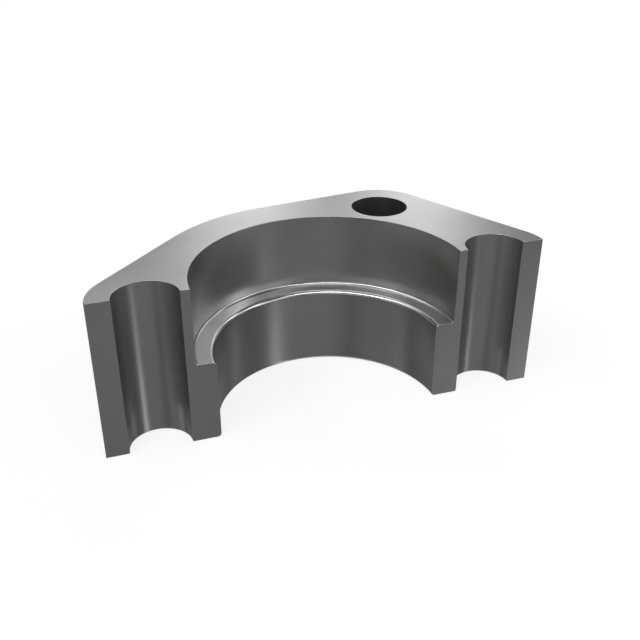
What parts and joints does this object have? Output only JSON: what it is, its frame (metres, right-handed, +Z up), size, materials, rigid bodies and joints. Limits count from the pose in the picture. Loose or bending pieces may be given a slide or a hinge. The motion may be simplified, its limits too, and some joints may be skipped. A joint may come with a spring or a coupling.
{
  "type": "hydraulic flange half",
  "caption": "Cut-open half of a flat steel hydraulic flange clamp: a stepped bore seats a pipe's collar, and bolts through the lugs press it to a port.",
  "frame": {"origin": "on the axis of the stepped bore, in the cut face, at the underside where the bolt heads bear", "axes": "+X along the cut face, through the two half bolt holes; +Y from the cut face into the steel; +Z up along the bore's axis, towards the recess and the port"},
  "size_m": [0.0766, 0.0324, 0.028],
  "materials": {
    "steel": "fine machined carbon steel, dark and satin, under a thin film of oil"
  },
  "bodies": {
    "root": {"flange_half": "steel"}
  },
  "joints": []
}
